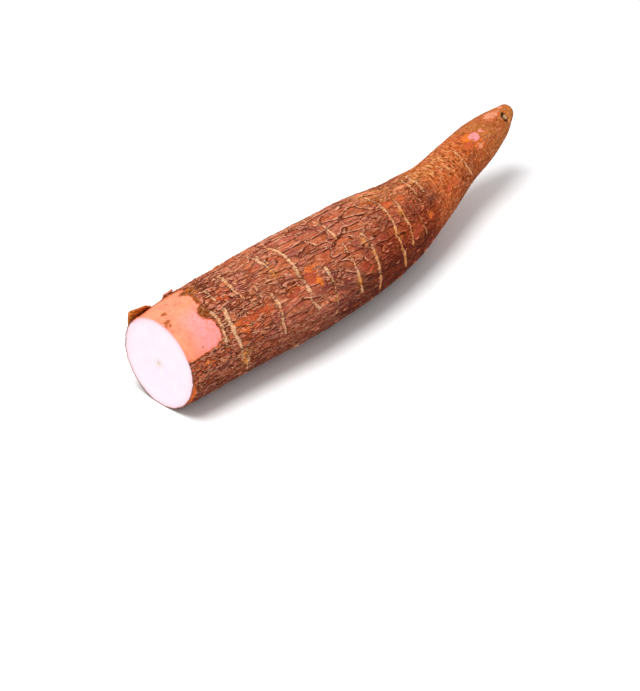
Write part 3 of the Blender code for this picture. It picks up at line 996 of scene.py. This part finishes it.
def scuffed(n, colour, grain, fibre, speck):
    """Rubbed places, whose hue runs from pink over peach and orange to dark red."""
    hue = n.mask("hue")
    shade = n.mix(n.ramp(hue, 0.05, 0.25), SCUFF_PINK, SCUFF_PEACH)
    shade = n.mix(n.ramp(hue, 0.30, 0.50), shade, SCUFF_ORANGE)
    shade = n.mix(n.ramp(hue, 0.52, 0.75), shade, SCUFF_RED)
    shade = n.mix(n.ramp(hue, 0.78, 1.00), shade, SCUFF_DARK)
    worn = n.ramp(hue, 0.50, 0.85, 0.35, 1.0)
    shade = n.laid(shade, SCUFF_DARK, speck, 0.56, 0.38, 0.75, worn)
    shade = n.laid(shade, MAUVE, fibre, 0.54, 0.70, 0.45, worn)
    shade = n.laid(shade, DARK, grain, 0.44, 0.28, 0.8, worn)
    edge = n.math("ADD", n.mask("scuff"), n.math("ADD", n.shake(grain, 1.0), n.shake(speck, 0.9)))
    colour = n.laid(colour, RUST, edge, -1.1, -0.1, 0.45)
    return n.laid(colour, shade, edge, -0.2, 0.6, 0.95)


def corked(n, colour, fibre, grain, speck):
    """Draws the pale welts, golden in places, each with a dark edge painted as shadow beside it."""
    welt = n.math("ADD", n.mask("welt"), n.math("ADD", n.shake(grain, 1.9), n.shake(speck, 1.0)))
    golden = n.math("MAXIMUM", n.ramp(speck, 0.54, 0.63, 0, 0.9), n.ramp(n.mask("gold"), 0.72, 0.95))
    tanned = n.math("MAXIMUM", n.mask("ruddy"), n.times(n.mask("neck"), 0.6))
    cork = n.mix(golden, n.mix(tanned, CREAM, TAN), CORK_GOLD)
    cork = n.laid(cork, RUST, fibre, 0.46, 0.34, 0.75)
    # Painted shadow: a dark edge round each raised welt.
    colour = n.laid(colour, DARK, welt, -0.7, 0.0, 0.5)
    return n.laid(colour, cork, welt, 0.0, 0.55, 0.95)


def peeled(n, colour, fibre, grain, speck):
    """Draws the bare inner bark, with its brown specks and its rusty edge. Gives where it is too."""
    hoop = n.noise((6.0, 11.0, 11.0), detail=3, roughness=0.6, shift=23)
    peel = n.mix(n.ramp(hoop, 0.36, 0.64), PEEL_ORANGE, PEEL_PEACH)
    peel = n.mix(n.times(n.mask("pink"), n.ramp(hoop, 0.25, 0.5, 0.7, 1.0)), peel, PEEL_PINK)
    peel = n.laid(peel, PEEL_DEEP, speck, 0.52, 0.36, 0.5)
    peel = n.laid(peel, SCUFF_PINK, fibre, 0.52, 0.70, 0.25)
    specks = n.math("ADD", n.mask("specks"), n.shake(speck, 0.7))
    peel = n.laid(peel, PEEL_SPECK, specks, 0.32, 0.68, 0.9)
    depth = n.math("ADD", n.mask("inside"), n.shake(grain, 0.8))
    peel = n.laid(peel, RUST, depth, 0.75, 0.1, 0.7)
    bare = n.ramp(depth, -0.15, 0.15)
    rim = n.times(n.ramp(depth, -1.1, -0.3), n.ramp(speck, 0.35, 0.6, 0.2, 0.9))
    colour = n.mix(n.times(rim, 0.7), colour, UMBER)
    return n.mix(bare, colour, peel), bare


def crumbly(n, colour, grain, speck):
    """Draws the crumbs of bark at the big patch's edge. Gives where they are too."""
    crumb = n.mix(n.ramp(speck, 0.44, 0.60), CRUMB_DARK, CRUMB)
    crumb = n.laid(crumb, DARK, grain, 0.40, 0.26, 0.8)
    crumb = n.laid(crumb, CREAM, grain, 0.58, 0.68, 0.7)
    crumbs = n.math("ADD", n.mask("crumbs"), n.shake(speck, 0.7))
    crumbs = n.ramp(crumbs, 0.35, 0.65, 0, 0.95)
    return n.mix(crumbs, colour, crumb), crumbs


def bark_material():
    """The bark, from its broad colours to its cracks, welts, bare places and crumbs."""
    n = Nodes("bark")
    fibre = n.noise((5.0, 0.75, 0.75), detail=4, roughness=0.6)
    streak = n.noise((15.0, 2.4, 2.4), detail=3, shift=11)
    grain = n.noise((1.1, 0.5, 0.5), detail=3, shift=5)
    speck = n.noise((2.2, 1.6, 1.6), detail=3, shift=19)
    dash = n.noise((1.5, 3.0, 3.0), detail=1.3, shift=57)
    cluster = n.ramp(n.noise((13.0, 8.0, 8.0), detail=2, shift=71), 0.36, 0.58, 0.25, 1.0)

    colour = bark_colour(n, fibre, grain, streak, speck)
    colour = scuffed(n, colour, grain, fibre, speck)
    fine = n.times(n.mask("fine"), n.ramp(n.mask("scuff"), 0.9, -0.4, 0.2, 1.0))
    colour, fine_crack, fine_lip = cracked(n, colour, grain, fibre, "fine_", fine, 0.30, 0.85)
    plates = n.times(n.mask("plates"), n.ramp(n.mask("scuff"), 1.2, -0.2, 0.35, 1.0))
    colour, crack, lip = cracked(n, colour, grain, fibre, "", plates, 0.42, 0.80)
    smoother = n.times(n.mask("neck"), 0.75)
    calm = n.ramp(n.mask("scuff"), 1.0, -0.4, 0.25, 1.0)
    creased = n.math("SUBTRACT", n.mix_value(n.mask("plates"), 1.0, 0.36), smoother)
    creased = n.times(creased, calm)
    colour, crease, ridge = wrinkled(n, colour, (9.0, 2.5, 2.5), 41, creased)
    flecked = n.times(n.mask("neck"), n.mix_value(n.mask("tip"), 1.0, 0.3), calm)
    colour = n.laid(colour, DARK, dash, 0.46, 0.34, 0.65, flecked)
    where = (n.mask("flecks"), calm, cluster)
    colour = n.laid(colour, NECK_FLECK, dash, 0.55, 0.64, 0.8, *where)

    colour = corked(n, colour, fibre, grain, speck)
    colour, bare = peeled(n, colour, fibre, grain, speck)
    colour, crumbs = crumbly(n, colour, grain, speck)
    # Painted shadow: the stub's pit, near black.
    colour = n.mix(n.mask("pit"), colour, PIT)
    colour = n.mix(n.mask("knob"), colour, KNOB)

    n.surface(colour, n.mix_value(bare, n.ramp(fibre, 0.3, 0.7, 0.62, 0.86), 0.5), 0.02)

    soft = n.noise((9.0, 7.0, 7.0), detail=3, shift=3)
    coarse = n.math("ADD", fibre, n.times(grain, 0.7))
    coarse = n.math("ADD", coarse, n.times(n.ramp(dash, 0.35, 0.65), flecked, 0.5))
    raised = n.math("MAXIMUM", n.math("MAXIMUM", lip, fine_lip), ridge)
    sunk = n.math("MAXIMUM", n.math("MAXIMUM", crack, fine_crack), crease)
    coarse = n.math("ADD", coarse, n.times(raised, 0.5))
    coarse = n.math("SUBTRACT", coarse, n.times(sunk, 0.8))
    rough = n.times(n.math("SUBTRACT", 1.0, n.math("SUBTRACT", bare, n.times(bare, crumbs))), coarse)
    relief = n.math("ADD", rough, n.times(soft, 0.12))
    n.set(n.shader.inputs["Normal"], n.bump(relief, 0.9 * MM))
    return n.material


def flesh_material():
    """The cut: white flesh with a pink rind, a woody core and a thin dark skin."""
    n = Nodes("flesh")
    depth = n.mask("depth")
    heart = n.mask("from_heart")
    cloud = n.noise((9.0, 9.0, 9.0), detail=3)
    rays = n.noise((1.0, 2.2, 2.2), detail=2, shift=4)
    colour = n.mix(n.ramp(cloud, 0.35, 0.65), FLESH, FLESH_WHITE)
    colour = n.laid(colour, FLESH_PINK, rays, 0.55, 0.75, 0.3)
    colour = n.laid(colour, FLESH_PINK, depth, 5.5, 1.0, 0.9)
    colour = n.mix(n.ramp(depth, 1.9, 0.3), colour, RIND)
    skin = n.times(n.ramp(depth, 0.75, 0.5), n.ramp(n.mask("inside"), 0.1, -0.1))
    colour = n.mix(skin, colour, CUT_SKIN)
    ring = n.math("ADD", heart, n.shake(cloud, 0.8))
    colour = n.laid(colour, HEART, ring, 5.5, 2.0, 0.25)
    colour = n.laid(colour, HEART, ring, 2.1, 1.0, 0.75)
    n.surface(colour, 0.42, 0.25)
    n.shader.inputs["Subsurface Weight"].default_value = 0.2
    n.shader.inputs["Subsurface Radius"].default_value = (1.0, 0.55, 0.5)
    n.shader.inputs["Subsurface Scale"].default_value = 2.0 * MM
    starch = n.noise((0.8, 0.8, 0.8), detail=2)
    n.set(n.shader.inputs["Normal"], n.bump(starch, 0.08 * MM))
    return n.material


def flake_material():
    """Loose bark: the first flap orange brown, the rest like the bark, with a pale free edge."""
    n = Nodes("lifted bark")
    place = n.add("TexCoord").outputs["Object"]
    grain = n.add("TexNoise", {"Vector": place, "Scale": 900, "Detail": 3}).outputs["Fac"]
    mottled = n.ramp(grain, 0.35, 0.65)
    colour = n.mix(mottled, MAUVE, UMBER)
    colour = n.mix(n.times(n.mask("ruddy"), 0.8), colour, FLAKE_RED)
    colour = n.laid(colour, LIP, n.mask("rim"), 0.55, 0.95, 0.3)
    flap = n.mix(mottled, FLAP_ORANGE, FLAP_BROWN)
    colour = n.mix(n.ramp(n.mask("tone"), 0.7, 0.9), colour, flap)
    n.surface(colour, 0.75, 0.18)
    n.set(n.shader.inputs["Normal"], n.bump(grain, 0.3 * MM))
    return n.material


def make_floor():
    """A pale floor, far larger than the view."""
    size = 6.0
    mesh = bpy.data.meshes.new("floor")
    corners = [(-size, -size, 0), (size, -size, 0), (size, size, 0), (-size, size, 0)]
    mesh.from_pydata(corners, [], [(0, 1, 2, 3)])
    floor = add_object("floor", mesh)
    n = Nodes("floor")
    n.surface(FLOOR_GREY, 0.9, 0.0)
    mesh.materials.append(n.material)


def make_camera():
    """The photograph's view, from the cut end's side and from above."""
    data = bpy.data.cameras.new("camera")
    data.lens = LENS
    camera = add_object("camera", data)
    level = math.cos(ELEVATION)
    back = Vector((math.sin(BEARING) * level, -math.cos(BEARING) * level, math.sin(ELEVATION)))
    camera.location = Vector(AIM) + DISTANCE * back
    camera.rotation_euler = back.to_track_quat("Z", "Y").to_euler()
    bpy.context.scene.camera = camera


def soft_light(name, place, size, power):
    """A round lamp that points at the middle of the root's base."""
    data = bpy.data.lights.new(name, "AREA")
    data.shape = "DISK"
    data.size = size
    data.energy = power
    light = add_object(name, data)
    light.location = place
    light.rotation_euler = Vector(place).to_track_quat("Z", "Y").to_euler()


def make_light():
    """A bright even sky, a key light from above and a weak one from the cut end's side."""
    scene = bpy.context.scene
    world = bpy.data.worlds.new("studio")
    scene.world = world
    world.use_nodes = True
    background = world.node_tree.nodes["Background"]
    background.inputs["Color"].default_value = (1, 1, 1, 1)
    background.inputs["Strength"].default_value = 0.6
    soft_light("key", (-0.5, 0.1, 1.5), 0.9, 22)
    soft_light("fill", (-1.3, -1.3, 0.9), 1.2, 3)
    scene.view_settings.view_transform = "Standard"
    scene.view_settings.look = "None"


skin = make_skin()
skin.data.materials.append(bark_material())
skin.data.materials.append(flesh_material())
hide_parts("cassava_root")
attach(skin, "root")

flakes = make_flakes()
flakes.data.materials.append(flake_material())
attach(flakes, "root")

make_floor()
make_camera()
make_light()
